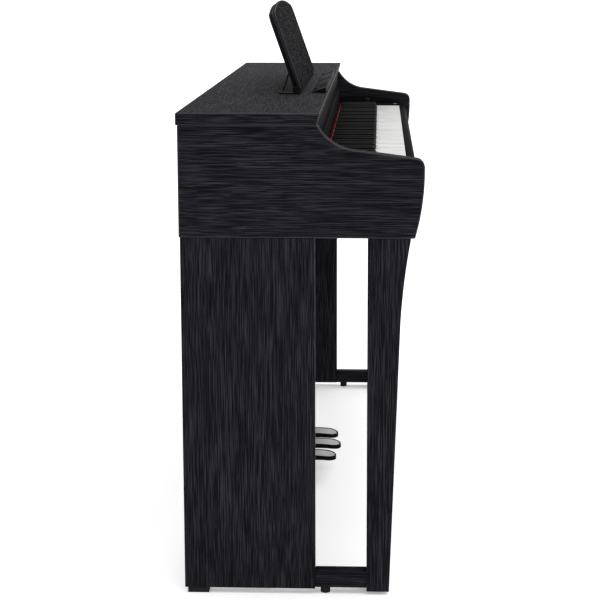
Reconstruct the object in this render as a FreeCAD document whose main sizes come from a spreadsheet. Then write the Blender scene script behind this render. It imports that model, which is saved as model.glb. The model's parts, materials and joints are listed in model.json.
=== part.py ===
import FreeCAD, Part
import math
import os
import Sketcher

# A home digital piano on its own stand, player's side towards -Y, +Z up.
# The origin is on the floor, at the middle of the whole outline.

doc = FreeCAD.newDocument("digital_piano")
sheet = doc.addObject("Spreadsheet::Sheet", "dims")

DIMENSIONS = {
    # case
    "case_width": 1357, "board": 22, "panel": 16, "overhang": 2.5,
    "back_edge": 208.4, "lid_back": 211, "lid_front": -33.4, "lid_undercut": 5.4,
    "seam": 638.5, "lid_bottom": 831, "lid_top": 852, "bed_thick": 15.5,
    # side arms, from the lid's edge down the hollow and the slope to the nose
    "arm_shoulder": -29.7, "hollow_radius": 80.7, "slope_back": -90, "slope_back_up": 789.8,
    "slope_front": -197.1, "slope_front_up": 775.7, "nose_radius": 16, "arm_front": -211,
    "nose_top": 759.8, "nose_low": 752, "front_swell": 415, "arm_foot": -195.2,
    # key slip
    "slip_back": -185, "slip_front": -201, "slip_top": 747, "slip_strip": 9, "slip_bevel": 8,
    "slip_knee": 57, "slip_taper": 1.5, "slip_foot": 12, "slip_heel": 11,
    # sound slots and speakers
    "speaker_place": 470, "speaker_back": 146, "slot_reach": 36, "slot_pitch": 8,
    "slot_half": 1.7, "flange_radius": 42, "flange_thick": 4, "basket_radius": 39,
    "basket_neck": 22, "basket_high": 26, "magnet_radius": 26, "magnet_high": 14,
    # keyboard
    "pitch": 23.55, "slot": 13.7, "key_gap": 0.5, "sharp_gap": 0.7,
    "key_front": -183, "shoulder": -130, "sharp_front": -128.5, "sharp_back": -39,
    "key_tail": 66, "pivot_back": 60, "pivot_up": 735, "white_top": 748.5,
    "white_foot": 727, "key_under": 731, "sharp_top": 760.5, "lip": 1.2, "lip_high": 3,
    "sharp_slope": 9, "notch_half": 4,
    # parts behind and beside the keys
    "rail_front": -33, "rail_back": -21, "rail_low": 754.5, "rail_high": 780, "rail_slope": 1.4,
    "valance_low": 797, "valance_setback": 6, "felt_low": 751.4, "felt_front": -36.5,
    "block_gap": 0.7, "block_step": 636, "block_outer": 652, "step_top": 752,
    "block_front_top": 760, "block_back_top": 768, "block_arch": 455, "block_heel": 12,
    "control_place": 624.5, "knob_place": -101, "knob_radius": 7.5, "knob_high": 13,
    "shaft_radius": 3, "shaft_length": 9, "shaft_gap": 0.3,
    "button_place": -172.5, "button_radius": 3.5, "button_high": 1.6, "button_gap": 0.35,
    # action
    "chassis_front": -172, "chassis_back": 95, "chassis_thick": 6, "front_rail_back": -161,
    "front_rail_top": 706, "contact_rail_front": -46, "contact_rail_back": -34,
    "contact_up": 712, "ridge_waist": 700, "ridge_half": 6, "ridge_gap": 0.4,
    "rib_flare": 2, "chassis_inset": 4,
    "contact_front": -62, "contact_back": -18, "sheet_thick": 1.6, "dome_front": -50,
    "dome_back": -30, "dome_high": 6.4, "dome_inset": 10,
    "main_left": -210, "main_right": 150, "main_front": 112, "main_back": 176,
    "standoff": 8, "standoff_wide": 7, "chip_wide": 26, "chip_high": 2.4, "chip_front": 135,
    # sockets
    "jack_box_left": -612, "jack_box_right": -548, "jack_box_front": -176,
    "jack_box_back": -121, "jack_box_high": 27, "jack_middle": -580, "jack_half_pitch": 16,
    "jack_drop": 14, "jack_bore": 3.2, "jack_depth": 18,
    "inlet_place": -310, "inlet_up": 697, "inlet_bore": 2.8, "inlet_half": 6,
    "inlet_depth": 14, "plate_left": -330, "plate_right": -250, "plate_half_high": 15,
    "plate_proud": 0.6,
    # sliding cover
    "cover_slope": 7.4, "cover_length": 176, "cover_thick": 10, "cover_front": -32,
    "cover_low": 783.3, "cover_side_gap": 1.6, "lip_deep": 6, "lip_corner": 1.5,
    # music rest
    "rest_lean": 19.3, "rest_width": 570, "rest_end_high": 158, "rest_crown": 1.6,
    "rest_crown_radius": 2110,
    "rest_corner": 26, "rest_front": 17.4, "rest_low": 860, "rest_skin": 6,
    "rest_thick": 14, "rest_inset": 3, "hinge_in": 10.5, "hinge_up": 4.5,
    "prop_in": 12, "prop_up": 40, "prop_length": 39, "prop_lean": 18.7,
    "prop_thick": 2.5, "prop_place": 271, "prop_half": 4, "recess_half": 7,
    "recess_low": 30, "recess_high": 84, "recess_floor": 9,
    "base_thick": 2.5, "base_front": 20, "base_back": 62, "base_inner": 265, "base_end": 8,
    "ear_gap": 1.5, "ear_thick": 5, "ear_front": 23, "ear_back": 35, "ear_over": 4,
    "hinge_pin": 2.5, "hinge_bore": 2.55, "hinge_reach": 14, "hinge_depth": 22,
    "prop_pin": 1.5, "prop_bore": 1.55, "prop_barrel": 2.6, "prop_pin_over": 3,
    # ledge and page holders
    "ledge_half": 262, "ledge_front": -29.9, "ledge_back": -1.6, "ledge_high": 10,
    "ledge_tail": 1.5, "clip_slot_half": 8, "clip_slot_up": 2.5, "clip_place": 201,
    "clip_half": 7, "clip_low": 855.5, "clip_thick": 2.6, "clip_pivot": -24, "clip_front": 1.5,
    "clip_back": -3, "clip_drop": 0.6, "clip_thin": 1.4, "joint_half": 2, "joint_up": 1.2,
    # stand
    "stand_back": 206.2, "stand_front": -24.3, "stand_low": 10, "leg_back": -114.6,
    "leg_top": -188.6, "leg_hollow": 1200, "leg_bend": -170.5, "leg_bend_up": 468,
    "leg_foot": -154.5, "leg_low": 5.5, "leg_wide": 45, "toe_wide": 25, "toe_low": 12,
    "toe_top": 42, "toe_inset": 2, "back_board_low": 190, "back_board_top": 520,
    "back_board_front": 120,
    "toe_foot_radius": 8.5, "toe_foot_place": -42, "leg_foot_radius": 8,
    "leg_foot_place": -142, "back_foot_front": 164, "back_foot_back": 201,
    "back_foot_half": 9,
    # brackets and bolts
    "bolt_place": 636, "bolt_front": 20, "bolt_back": 150, "bolt_radius": 3, "bolt_deep": 10,
    "bolt_head_radius": 6, "bolt_head_high": 5, "bracket_half": 20, "bracket_reach": 34,
    "bracket_thick": 2,
    # pedals and the board across the stand
    "pedal_pitch": 78, "pedal_half": 23, "pedal_arm": 11, "pedal_top": 61,
    "pedal_under": 51, "pedal_tip": -47, "pedal_long_tip": -55, "pedal_neck": 14,
    "pedal_pivot": 100, "pedal_pivot_up": 57, "pedal_pin": 4, "pedal_bore": 4.06,
    "pedal_barrel": 8, "neck_flare": 12, "pedal_flank": 14,
    "pedal_nose": 23.7, "pedal_curl": 260, "pedal_droop": 5, "window_gap": 3,
    "spring_radius": 6, "spring_wall": 1.4, "spring_back": 84.5, "spring_gap": 0.4,
    "beam_front": 36, "beam_wall": 12, "beam_back": 138, "beam_low": 28, "beam_top": 118,
    "housing_half": 124, "housing_front": 50, "housing_back": 132, "housing_thick": 2,
    "cheek_half": 1.5, "cheek_front": 84, "cheek_back": 116, "cheek_inner": 39,
    "cheek_outer": 118, "pin_half": 122,
    "adjuster_back": 62.5, "nut_radius": 14, "nut_high": 14, "nut_bore": 8.4,
    "disc_radius": 17, "disc_high": 9, "neck_radius": 14, "neck_high": 8,
    "stem_radius": 8, "stem_high": 20,
}


def fill_sheet():
    for row, (alias, value) in enumerate(DIMENSIONS.items(), start=1):
        sheet.set("A%d" % row, alias)
        sheet.set("B%d" % row, str(value))
        sheet.setAlias("B%d" % row, alias)
    doc.recompute()


def value_of(expression):
    """The number that an expression on the sheet gives now."""
    result = sheet.evalExpression(str(expression))
    return float(getattr(result, "Value", result))


def bind(obj, target, expression):
    obj.setExpression(target, str(expression))


PLANES = {"side": ("YZ_Plane", 1), "front": ("XZ_Plane", -1), "plan": ("XY_Plane", 1)}


def arc_middle(start, end, radius):
    """Middle of an arc that leaves the chord to its right, or to its left if radius < 0."""
    chord = end.sub(start)
    drop = abs(radius) - math.sqrt(radius ** 2 - (chord.Length / 2) ** 2)
    outward = FreeCAD.Vector(chord.y, -chord.x, 0).normalize()
    return (start + end) * 0.5 + outward * math.copysign(drop, radius)


def draw_outline(sketch, corners):
    """Closed outline. A corner is (u, v), or (u, v, radius) when an arc leaves it."""
    places = [FreeCAD.Vector(value_of(c[0]), value_of(c[1]), 0) for c in corners]
    ends = []
    for number, corner in enumerate(corners):
        start = places[number]
        end = places[(number + 1) % len(corners)]
        if len(corner) == 3:
            middle = arc_middle(start, end, value_of(corner[2]))
            edge = sketch.addGeometry(Part.Arc(start, middle, end))
        else:
            edge = sketch.addGeometry(Part.LineSegment(start, end))
        first = 1 if sketch.getPoint(edge, 1).distanceToPoint(start) < 1e-6 else 2
        ends.append((edge, first, 3 - first))
    for number, corner in enumerate(corners):
        edge, first, last = ends[number]
        after = ends[(number + 1) % len(corners)]
        sketch.addConstraint(Sketcher.Constraint("Coincident", edge, last, after[0], after[1]))
        for name, place, expression in (("DistanceX", places[number].x, corner[0]),
                                        ("DistanceY", places[number].y, corner[1])):
            index = sketch.addConstraint(Sketcher.Constraint(name, -1, 1, edge, first, place))
            bind(sketch, "Constraints[%d]" % index, expression)
        if len(corner) == 3:
            radius = abs(value_of(corner[2]))
            index = sketch.addConstraint(Sketcher.Constraint("Radius", edge, radius))
            bind(sketch, "Constraints[%d]" % index, "abs(%s)" % corner[2])


def add_sketch(body, plane, level, corners):
    role, sign = PLANES[plane]
    sketch = body.newObject("Sketcher::SketchObject", body.Label + "_outline")
    origin_plane = [f for f in body.Origin.OriginFeatures if f.Role == role][0]
    sketch.AttachmentSupport = [(origin_plane, "")]
    sketch.MapMode = "FlatFace"
    bind(sketch, "AttachmentOffset.Base.z", "%d*(%s)" % (sign, level))
    draw_outline(sketch, corners)
    return sketch


def add_pad(body, plane, span, corners):
    """Pad from span[0] to span[1] along the plane's axis."""
    low, high = span
    level = low if PLANES[plane][1] > 0 else high
    pad = body.newObject("PartDesign::Pad", body.Label + "_pad")
    pad.Profile = add_sketch(body, plane, level, corners)
    bind(pad, "Length", "(%s)-(%s)" % (high, low))
    return pad


def prism(label, plane, span, corners):
    body = doc.addObject("PartDesign::Body", label)
    body.Label = label
    add_pad(body, plane, span, corners)
    return body


def box(label, x_span, y_span, z_span):
    solid = doc.addObject("Part::Box", label)
    for axis, side, span in (("x", "Length", x_span), ("y", "Width", y_span),
                             ("z", "Height", z_span)):
        bind(solid, side, "(%s)-(%s)" % (span[1], span[0]))
        bind(solid, "Placement.Base." + axis, span[0])
    return solid


AXIS_TURNS = {"x": FreeCAD.Rotation(FreeCAD.Vector(0, 1, 0), 90),
              "y": FreeCAD.Rotation(FreeCAD.Vector(1, 0, 0), -90),
              "z": FreeCAD.Rotation()}


def round_bar(label, axis, radius, length, start, top_radius=None):
    """Cylinder, or cone when top_radius is given, from start along +axis."""
    bar = doc.addObject("Part::Cylinder" if top_radius is None else "Part::Cone", label)
    if top_radius is None:
        bind(bar, "Radius", radius)
    else:
        bind(bar, "Radius1", radius)
        bind(bar, "Radius2", top_radius)
    bind(bar, "Height", length)
    bar.Placement = FreeCAD.Placement(FreeCAD.Vector(), AXIS_TURNS[axis])
    for letter, place in zip("xyz", start):
        bind(bar, "Placement.Base." + letter, place)
    return bar


def cut(label, base, tool):
    result = doc.addObject("Part::Cut", label)
    result.Base = base
    result.Tool = tool
    return result


def common(label, base, tool):
    result = doc.addObject("Part::Common", label)
    result.Base = base
    result.Tool = tool
    return result


def fuse(label, shapes):
    result = doc.addObject("Part::MultiFuse", label)
    result.Shapes = shapes
    return result


def group(label, shapes):
    """Pieces of one kind that don't touch, kept as separate solids."""
    result = doc.addObject("Part::Compound", label)
    result.Links = shapes
    return result


NODES = []


def node(obj):
    NODES.append(obj)
    return obj


HALF = "dims.case_width/2"
INNER = "(dims.case_width/2-dims.board)"
BED_TOP = "(dims.seam+dims.bed_thick)"
INLET_X = ("dims.inlet_place-dims.inlet_half", "dims.inlet_place+dims.inlet_half")
INLET_Z = ("dims.inlet_up-dims.inlet_half", "dims.inlet_up+dims.inlet_half")


def side_span(side, inner, outer):
    """X range of a piece that stands on the left (-1) or right (+1) side."""
    return (inner, outer) if side > 0 else ("-(%s)" % outer, "-(%s)" % inner)


SIDES = (("left", -1), ("right", 1))


# ---- keyboard case -------------------------------------------------------

def make_case():
    over = "(%s+dims.overhang)" % HALF
    node(prism("top_board", "side", ("-" + over, over), [
        ("dims.lid_back", "dims.lid_bottom"),
        ("dims.lid_back", "dims.lid_top"),
        ("dims.lid_front", "dims.lid_top"),
        ("dims.lid_front+dims.lid_undercut", "dims.lid_bottom")]))
    for name, side in SIDES:
        node(prism(name + "_arm", "side", side_span(side, INNER, HALF), [
            ("dims.back_edge", "dims.seam"),
            ("dims.back_edge", "dims.lid_bottom"),
            ("dims.arm_shoulder", "dims.lid_bottom", "-dims.hollow_radius"),
            ("dims.slope_back", "dims.slope_back_up"),
            ("dims.slope_front", "dims.slope_front_up", "dims.nose_radius"),
            ("dims.arm_front", "dims.nose_top"),
            ("dims.arm_front", "dims.nose_low", "dims.front_swell"),
            ("dims.arm_foot", "dims.seam")]))
    span = ("-" + INNER, INNER)
    inside_back = "dims.back_edge-2"
    bed = box("key_bed_board", span, ("dims.slip_back+dims.slip_heel", inside_back),
              ("dims.seam", BED_TOP))
    node(cut("key_bed", bed, fuse("key_bed_holes", sound_slots() + bolt_shanks("bed_hole"))))
    back = box("cabinet_back_board", span, (inside_back + "-dims.panel", inside_back),
               (BED_TOP, "dims.lid_bottom"))
    window = box("inlet_window", INLET_X, (inside_back + "-2*dims.panel", "dims.back_edge"),
                 INLET_Z)
    node(cut("cabinet_back", back, window))
    node(prism("key_slip", "side", span, [
        ("dims.slip_back", "dims.slip_top"),
        ("dims.slip_back-dims.slip_strip", "dims.slip_top"),
        ("dims.slip_front", "dims.slip_top-dims.slip_bevel"),
        ("dims.slip_front+dims.slip_taper", "dims.slip_top-dims.slip_knee"),
        ("dims.slip_front+dims.slip_foot", "dims.seam"),
        ("dims.slip_back+dims.slip_heel", "dims.seam"),
        ("dims.slip_back+dims.slip_heel", "%s+2" % BED_TOP),
        ("dims.slip_back", "dims.slip_top-dims.slip_knee")]))


def sound_slots():
    """Nine slots under each speaker, shorter towards the edge of its round grille."""
    slots = []
    for sign in ("-", "+"):
        for number in range(-4, 5):
            reach = "sqrt(dims.slot_reach^2-(%d*dims.slot_pitch)^2)" % number
            middle = "dims.speaker_back+%d*dims.slot_pitch" % number
            x_span = ["%sdims.speaker_place%s%s" % (sign, end, reach) for end in "-+"]
            slots.append(box("sound_slot", x_span,
                             (middle + "-dims.slot_half", middle + "+dims.slot_half"),
                             ("dims.seam-5", BED_TOP + "+5")))
    return slots


def make_rail():
    span = ("-(%s-1)" % INNER, "%s-1" % INNER)
    node(prism("name_rail", "side", span, [
        ("dims.rail_front", "dims.rail_low"),
        ("dims.rail_back", "dims.rail_low"),
        ("dims.rail_back", "dims.rail_high+dims.rail_slope"),
        ("dims.rail_front", "dims.rail_high")]))
    felt_half = "dims.pitch*26"
    node(box("felt_strip", ("-" + felt_half, felt_half), ("dims.felt_front", "dims.rail_back"),
             ("dims.felt_low", "dims.rail_low")))
    node(box("valance", span, ("dims.rail_front+dims.valance_setback",
                               "dims.rail_back+dims.valance_setback"),
             ("dims.valance_low", "dims.lid_bottom")))


def make_key_blocks():
    inner = "dims.pitch*26+dims.block_gap"
    front = "dims.slip_back+0.5"
    back = "dims.rail_front-1"
    heel = [(front, "dims.slip_top-dims.slip_knee+2"),
            (front + "+dims.block_heel", BED_TOP), (back, BED_TOP)]
    for name, side in SIDES:
        arch = prism(name + "_block_arch", "side",
                     side_span(side, "dims.block_step", "dims.block_outer"), heel + [
                         (back, "dims.block_back_top", "dims.block_arch"),
                         (front, "dims.block_front_top")])
        step = prism(name + "_block_step", "side",
                     side_span(side, inner, "dims.block_step"), heel + [
                         (back, "dims.step_top"), (front, "dims.step_top")])
        whole = fuse(name + "_block_whole", [arch, step])
        if side < 0:
            whole.Label = "left_key_block"
            node(whole)
            continue
        wells = fuse("control_wells", [
            round_bar("knob_shaft_well", "z", "dims.shaft_radius+dims.shaft_gap", 12,
                      ("dims.control_place", "dims.knob_place", "dims.step_top-10")),
            round_bar("button_well", "z", "dims.button_radius+dims.button_gap", 12,
                      ("dims.control_place", "dims.button_place", "dims.step_top-8"))])
        node(cut("right_key_block", whole, wells))


def make_controls():
    at_knob = ("dims.control_place", "dims.knob_place")
    node(fuse("volume_knob", [
        round_bar("knob_skirt", "z", "dims.knob_radius", "dims.knob_high-1",
                  at_knob + ("dims.step_top+0.5",)),
        round_bar("knob_crown", "z", "dims.knob_radius", 1,
                  at_knob + ("dims.step_top+dims.knob_high-0.5",),
                  top_radius="dims.knob_radius-1"),
        round_bar("knob_shaft", "z", "dims.shaft_radius", "dims.shaft_length",
                  at_knob + ("dims.step_top+1-dims.shaft_length",))]))
    node(round_bar("power_button", "z", "dims.button_radius", "dims.button_high+5",
                   ("dims.control_place", "dims.button_place", "dims.step_top-5")))


def make_key_cover():
    """The panel lies on the slope that it slides along, between the side arms."""
    run = "cos(dims.cover_slope)"
    rise = "sin(dims.cover_slope)"
    half = "(%s-dims.cover_side_gap)" % INNER

    def on_slope(along, up):
        return ("dims.cover_front+(%s)*%s-(%s)*%s" % (along, run, up, rise),
                "dims.cover_low+(%s)*%s+(%s)*%s" % (along, rise, up, run))

    node(prism("key_cover", "side", ("-" + half, half), [
        on_slope("dims.lip_deep", 0), on_slope("dims.cover_length", 0),
        on_slope("dims.cover_length", "dims.cover_thick"),
        on_slope("dims.lip_deep", "dims.cover_thick")]))
    node(prism("key_cover_lip", "side", ("-" + half, half), [
        on_slope("dims.lip_corner", 0), on_slope("dims.lip_deep", 0),
        on_slope("dims.lip_deep", "dims.cover_thick"),
        on_slope("dims.lip_corner", "dims.cover_thick"),
        on_slope(0, "dims.cover_thick-dims.lip_corner"), on_slope(0, "dims.lip_corner")]))


# ---- keys ------------------------------------------------------------------

WHITE = {"c": (0, 3, 0), "d": (0, 3, 1), "e": (0, 3, 2),
         "f": (3, 4, 0), "g": (3, 4, 1), "a": (3, 4, 2), "b": (3, 4, 3)}
SHARP = {"c_sharp": (0, 3, 0), "d_sharp": (0, 3, 1),
         "f_sharp": (3, 4, 0), "g_sharp": (3, 4, 1), "a_sharp": (3, 4, 2)}
FIRST_C = "(-dims.pitch*24)"
OCTAVE = "(dims.pitch*7)"
FULL_OCTAVES = 7


def tail_width(count):
    """Width of each tail in a run of whites that holds count-1 sharps."""
    return "((%d*dims.pitch-%d*dims.slot)/%d)" % (count, count - 1, count)


def white_outline(octave, note, plain_left=False, plain_right=False):
    start, count, index = WHITE[note]
    left = "%s+%d*%s+%d*dims.pitch" % (FIRST_C, octave, OCTAVE, start + index)
    run = "%s+%d*%s+%d*dims.pitch" % (FIRST_C, octave, OCTAVE, start)
    tail_left = "%s+%d*(%s+dims.slot)" % (run, index, tail_width(count))
    head = (left + "+dims.key_gap", left + "+dims.pitch-dims.key_gap")
    tail = (tail_left + "+dims.key_gap", "%s+%s-dims.key_gap" % (tail_left, tail_width(count)))
    points = [(head[0], "dims.key_front"), (head[1], "dims.key_front")]
    if index == count - 1 or plain_right:
        points.append((head[1], "dims.key_tail"))
    else:
        points += [(head[1], "dims.shoulder"), (tail[1], "dims.shoulder"),
                   (tail[1], "dims.key_tail")]
    if index == 0 or plain_left:
        points.append((head[0], "dims.key_tail"))
    else:
        points += [(tail[0], "dims.key_tail"), (tail[0], "dims.shoulder"),
                   (head[0], "dims.shoulder")]
    return points


def sharp_outline(octave, note):
    start, count, index = SHARP[note]
    run = "%s+%d*%s+%d*dims.pitch" % (FIRST_C, octave, OCTAVE, start)
    left = "%s+%d*(%s+dims.slot)+%s" % (run, index, tail_width(count), tail_width(count))
    low = left + "+dims.sharp_gap"
    high = left + "+dims.slot-dims.sharp_gap"
    return [(low, "dims.sharp_front"), (high, "dims.sharp_front"),
            (high, "dims.key_tail"), (low, "dims.key_tail")]


KEY_LEVELS = ("dims.white_foot-10", "dims.sharp_top+10")


def key_row(note, outline, octaves):
    """One note in every octave: the outline padded once, then repeated along X."""
    body = doc.addObject("PartDesign::Body", "row_" + note)
    body.Label = "row_" + note
    body.AllowCompound = True
    pad = add_pad(body, "plan", KEY_LEVELS, outline)
    pattern = body.newObject("PartDesign::LinearPattern", "row_%s_pattern" % note)
    pattern.Originals = [pad]
    x_axis = [f for f in body.Origin.OriginFeatures if f.Role == "X_Axis"][0]
    pattern.Direction = (x_axis, [""])
    pattern.Occurrences = octaves
    bind(pattern, "Length", "%d*%s" % (octaves - 1, OCTAVE))
    body.Tip = pattern
    return body


def notch():
    """The V under a key's tail that rocks on the chassis ridge."""
    return [("dims.key_tail", "dims.key_under"),
            ("dims.pivot_back+dims.notch_half", "dims.key_under"),
            ("dims.pivot_back", "dims.pivot_up"),
            ("dims.pivot_back-dims.notch_half", "dims.key_under")]


def make_keys():
    reach = ("-dims.pitch*26", "dims.pitch*26")
    white_side = prism("white_side", "side", reach, [
        ("dims.key_front", "dims.white_top"),
        ("dims.key_front", "dims.white_top-dims.lip_high"),
        ("dims.key_front+dims.lip", "dims.white_top-dims.lip_high"),
        ("dims.key_front+dims.lip", "dims.white_foot"),
        ("dims.shoulder", "dims.white_foot"),
        ("dims.shoulder+4", "dims.key_under")]
        + list(reversed(notch())) + [("dims.key_tail", "dims.white_top")])
    sharp_side = prism("sharp_side", "side", reach, [
        ("dims.sharp_front", "dims.key_under"),
        ("dims.sharp_front", "dims.white_top-4"),
        ("dims.sharp_front+dims.sharp_slope/2", "dims.sharp_top-1"),
        ("dims.sharp_front+dims.sharp_slope", "dims.sharp_top"),
        ("dims.sharp_back", "dims.sharp_top"),
        ("dims.sharp_back", "dims.white_top-2"),
        ("dims.key_tail", "dims.white_top-2")] + notch())
    for note in WHITE:
        first = -1 if note == "b" else 0
        row = key_row(note, white_outline(first, note), FULL_OCTAVES - first)
        rows = [row]
        if note == "a":
            rows.append(prism("lowest_a", "plan", KEY_LEVELS,
                              white_outline(-1, "a", plain_left=True)))
        if note == "c":
            rows.append(prism("highest_c", "plan", KEY_LEVELS,
                              white_outline(FULL_OCTAVES, "c", plain_right=True)))
        plan = row if len(rows) == 1 else group("plans_" + note, rows)
        node(common("keys_" + note, plan, white_side))
    for note in SHARP:
        first = -1 if note == "a_sharp" else 0
        row = key_row(note, sharp_outline(first, note), FULL_OCTAVES - first)
        node(common("keys_" + note, row, sharp_side))


def make_action():
    """Chassis with a front rail, a contact rail and the ridge that the keys rock on."""
    inset = "dims.chassis_inset"
    reach = ("-dims.pitch*26+" + inset, "dims.pitch*26-" + inset)
    floor = BED_TOP + "+dims.chassis_thick"
    rib_front = "dims.contact_rail_front"
    rib_back = "dims.contact_rail_back"
    node(prism("action_chassis", "side", reach, [
        ("dims.chassis_front", BED_TOP), ("dims.chassis_back", BED_TOP),
        ("dims.chassis_back", floor),
        ("dims.pivot_back+2*dims.ridge_half", floor),
        ("dims.pivot_back+dims.ridge_half", "dims.ridge_waist"),
        ("dims.pivot_back", "dims.pivot_up-dims.ridge_gap"),
        ("dims.pivot_back-dims.ridge_half", "dims.ridge_waist"),
        ("dims.pivot_back-2*dims.ridge_half", floor),
        (rib_back + "+dims.rib_flare", floor), (rib_back, "dims.contact_up"),
        (rib_front, "dims.contact_up"), (rib_front + "-dims.rib_flare", floor),
        ("dims.front_rail_back+1", floor), ("dims.front_rail_back", "dims.front_rail_top"),
        ("dims.chassis_front", "dims.front_rail_top")]))
    sheet_top = "dims.contact_up+dims.sheet_thick"
    node(fuse("contact_board", [
        box("contact_sheet", reach, ("dims.contact_front", "dims.contact_back"),
            ("dims.contact_up", sheet_top)),
        box("contact_domes", ("-dims.pitch*26+dims.dome_inset", "dims.pitch*26-dims.dome_inset"),
            ("dims.dome_front", "dims.dome_back"), (sheet_top, sheet_top + "+dims.dome_high"))]))


def make_main_board():
    """Circuit board on four standoffs, with a row of chips."""
    sheet_low = BED_TOP + "+dims.standoff"
    sheet_top = sheet_low + "+dims.sheet_thick"
    wide = "dims.standoff_wide"
    pieces = [box("main_board_sheet", ("dims.main_left", "dims.main_right"),
                  ("dims.main_front", "dims.main_back"), (sheet_low, sheet_top))]
    for x in ("dims.main_left+5", "dims.main_right-5-" + wide):
        for y in ("dims.main_front+4", "dims.main_back-4-" + wide):
            pieces.append(box("main_board_leg", (x, x + "+" + wide), (y, y + "+" + wide),
                              (BED_TOP, sheet_low)))
    for number in range(4):
        x = "dims.main_left+50+%d*80" % number
        pieces.append(box("main_board_chip", (x, x + "+dims.chip_wide"),
                          ("dims.chip_front", "dims.chip_front+dims.chip_wide"),
                          (sheet_top, sheet_top + "+dims.chip_high")))
    node(fuse("main_board", pieces))


def make_speakers():
    for name, side in SIDES:
        place = ("%d*dims.speaker_place" % side, "dims.speaker_back")
        basket_low = BED_TOP + "+dims.flange_thick"
        node(fuse(name + "_speaker", [
            round_bar(name + "_speaker_flange", "z", "dims.flange_radius", "dims.flange_thick",
                      place + (BED_TOP,)),
            round_bar(name + "_speaker_basket", "z", "dims.basket_radius", "dims.basket_high",
                      place + (basket_low,), top_radius="dims.basket_neck"),
            round_bar(name + "_speaker_magnet", "z", "dims.magnet_radius", "dims.magnet_high",
                      place + (basket_low + "+dims.basket_high-2",))]))


def make_sockets():
    """Headphone box under the bed, and the inlet panel on the back."""
    case = box("headphone_case", ("dims.jack_box_left", "dims.jack_box_right"),
               ("dims.jack_box_front", "dims.jack_box_back"),
               ("dims.seam-dims.jack_box_high", "dims.seam"))
    jacks = fuse("headphone_jacks", [
        round_bar("jack_bore", "y", "dims.jack_bore", "dims.jack_depth+4",
                  ("dims.jack_middle%sdims.jack_half_pitch" % sign, "dims.jack_box_front-4",
                   "dims.seam-dims.jack_drop")) for sign in "-+"])
    node(cut("headphone_box", case, jacks))
    plate = box("inlet_plate", ("dims.plate_left", "dims.plate_right"),
                ("dims.back_edge-2", "dims.back_edge+dims.plate_proud"),
                ("dims.inlet_up-dims.plate_half_high", "dims.inlet_up+dims.plate_half_high"))
    barrel = box("inlet_barrel", INLET_X, ("dims.back_edge-dims.inlet_depth", "dims.back_edge-2"),
                 INLET_Z)
    hole = round_bar("inlet_bore", "y", "dims.inlet_bore", "dims.inlet_depth+2",
                     ("dims.inlet_place", "dims.back_edge-dims.inlet_depth+2", "dims.inlet_up"))
    node(cut("inlet_panel", fuse("inlet_whole", [plate, barrel]), hole))


# ---- music rest --------------------------------------------------------------

def rest_outline(inset):
    """Front view in the rest's own frame: straight foot and ends, arched top."""
    half = "(dims.rest_width/2-%s)" % inset
    end = "(dims.rest_end_high-%s)" % inset
    corner = "(dims.rest_corner-%s)" % inset
    low = inset
    return [("-" + half, low), (half, low), (half, "%s-%s" % (end, corner), corner),
            ("%s-%s" % (half, corner), end + "+dims.rest_crown", "dims.rest_crown_radius"),
            ("-%s+%s" % (half, corner), end + "+dims.rest_crown", corner),
            ("-" + half, "%s-%s" % (end, corner))]


def lean(obj):
    """Tilt a piece built upright about the rest's lower front edge."""
    obj.Placement = FreeCAD.Placement(FreeCAD.Vector(),
                                      FreeCAD.Rotation(FreeCAD.Vector(-1, 0, 0), 1))
    bind(obj, "Placement.Base.y", "dims.rest_front")
    bind(obj, "Placement.Base.z", "dims.rest_low")
    bind(obj, "Placement.Rotation.Angle", "dims.rest_lean")
    return obj


def leaned(depth, up):
    """Frame position of a point given in the rest's own upright frame."""
    return ("(dims.rest_front+(%s)*cos(dims.rest_lean)+(%s)*sin(dims.rest_lean))" % (depth, up),
            "(dims.rest_low-(%s)*sin(dims.rest_lean)+(%s)*cos(dims.rest_lean))" % (depth, up))


def make_music_rest():
    half = "dims.rest_width/2"
    node(lean(prism("music_rest_panel", "front", (0, "dims.rest_skin"), rest_outline("0"))))
    shell = prism("rest_shell", "front", ("dims.rest_skin", "dims.rest_thick"),
                  rest_outline("dims.rest_inset"))
    pin_length = "2*(dims.recess_half+dims.prop_pin_over)"
    pin_y, pin_z = leaned("dims.prop_in", "dims.prop_up")
    hollows = []
    pins = []
    for side in (-1, 1):
        centre = "%d*dims.prop_place" % side
        hollows.append(box("rest_recess", (centre + "-dims.recess_half", centre + "+dims.recess_half"),
                           ("dims.recess_floor", "dims.rest_thick+5"),
                           ("dims.recess_low", "dims.recess_high")))
        hollows.append(round_bar("prop_pin_bore", "x", "dims.prop_pin", pin_length,
                                 (centre + "-(%s)/2" % pin_length, "dims.prop_in", "dims.prop_up")))
        bore_from, _ = side_span(side, half + "-dims.hinge_depth", half + "+2")
        hollows.append(round_bar("rest_bore", "x", "dims.hinge_bore", "dims.hinge_depth+2",
                                 (bore_from, "dims.hinge_in", "dims.hinge_up")))
        pins.append(round_bar("prop_pin_rod", "x", "dims.prop_pin", pin_length,
                              (centre + "-(%s)/2" % pin_length, pin_y, pin_z)))
    node(lean(cut("music_rest_back", shell, fuse("rest_hollows", hollows))))
    node(group("prop_pin", pins))


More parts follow.
